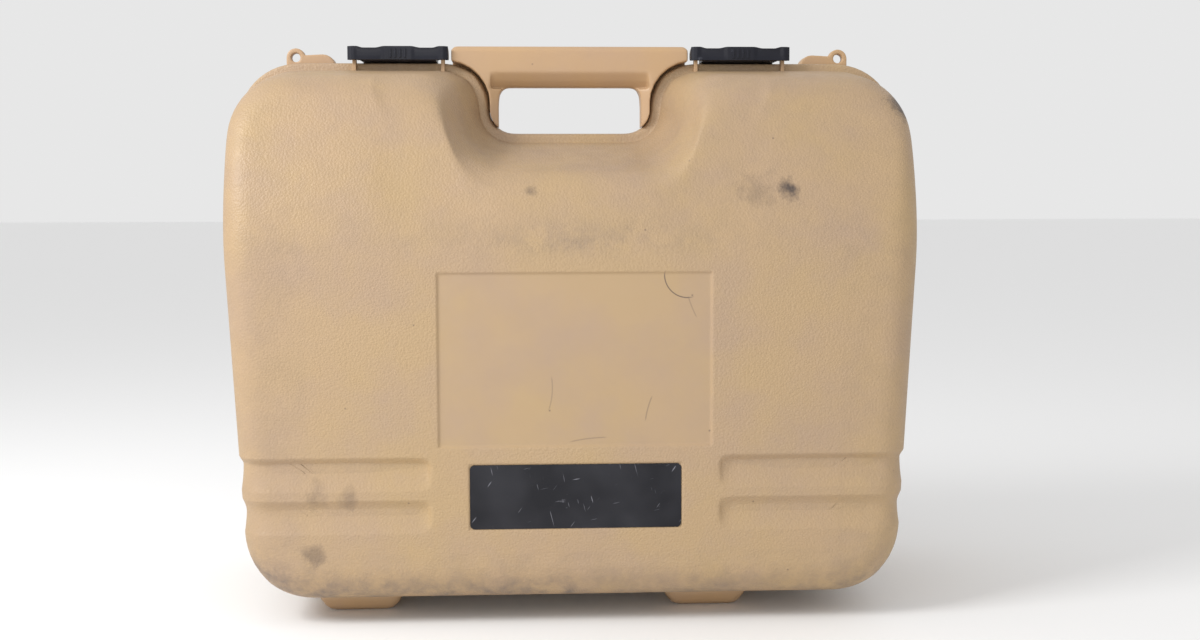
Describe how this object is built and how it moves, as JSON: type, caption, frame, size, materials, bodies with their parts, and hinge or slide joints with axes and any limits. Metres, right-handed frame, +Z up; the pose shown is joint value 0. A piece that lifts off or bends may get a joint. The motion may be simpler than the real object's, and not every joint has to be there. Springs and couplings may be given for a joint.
{
  "type": "instrument carrying case",
  "caption": "Hard moulded instrument case with a bottom-hinged lid, recessed carry handle, toggle latches, strap eyes, nesting feet and fitted foam.",
  "frame": {"origin": "centre of the bounding box in X and Y, on the floor under the feet", "axes": "+X to the right seen from the lid's side, +Y from the lid to the base, +Z up with the case standing on its feet"},
  "size_m": [0.469, 0.22, 0.3886],
  "materials": {
    "shell": "grained moulded plastic, tan",
    "handle": "smooth moulded plastic, tan",
    "latch": "moulded plastic, black",
    "nameplate": "thin plate, black, scratched",
    "steel": "zinc plated",
    "foam": "closed-cell foam, dark grey"
  },
  "bodies": {
    "base": {"base_shell": "shell", "carry_handle": "handle", "handle_screw_left_lower": "steel", "handle_screw_left_upper": "steel", "strap_eye_left": "handle", "strap_eye_screw_left": "steel", "handle_screw_right_lower": "steel", "handle_screw_right_upper": "steel", "strap_eye_right": "handle", "strap_eye_screw_right": "steel", "base_foam": "foam", "hinge_pin_left": "steel", "hinge_pin_right": "steel"},
    "lid": {"lid_shell": "shell", "lid_foam": "foam", "nameplate": "nameplate"},
    "lever_left": {"latch_left_lever": "latch", "latch_left_claw_pin": "steel", "latch_left_pivot_pin_inner": "steel", "latch_left_pivot_pin_outer": "steel"},
    "lever_right": {"latch_right_lever": "latch", "latch_right_claw_pin": "steel", "latch_right_pivot_pin_inner": "steel", "latch_right_pivot_pin_outer": "steel"},
    "claw_left": {"latch_left_claw": "latch"},
    "claw_right": {"latch_right_claw": "latch"}
  },
  "joints": [
    {"name": "lid_hinge", "type": "hinge", "parent": "base", "child": "lid", "pos_m": [0, 0, 0.007], "axis": [1, 0, 0], "range_deg": [0, 180]},
    {"name": "lever_left_turn", "type": "hinge", "parent": "lid", "child": "lever_left", "pos_m": [-0.1205, -0.008, 0.3818], "axis": [-1, 0, 0], "range_deg": [0, 95]},
    {"name": "lever_right_turn", "type": "hinge", "parent": "lid", "child": "lever_right", "pos_m": [0.1205, -0.008, 0.3818], "axis": [-1, 0, 0], "range_deg": [0, 95]},
    {"name": "claw_left_turn", "type": "hinge", "parent": "lever_left", "child": "claw_left", "pos_m": [-0.1205, -0.0126, 0.3794], "axis": [1, 0, 0], "range_deg": [0, 76]},
    {"name": "claw_right_turn", "type": "hinge", "parent": "lever_right", "child": "claw_right", "pos_m": [0.1205, -0.0126, 0.3794], "axis": [1, 0, 0], "range_deg": [0, 76]}
  ],
  "couplings": [
    {"joint": "claw_left_turn", "follows": "lever_left_turn", "ratio": 0.8},
    {"joint": "claw_right_turn", "follows": "lever_right_turn", "ratio": 0.8}
  ]
}
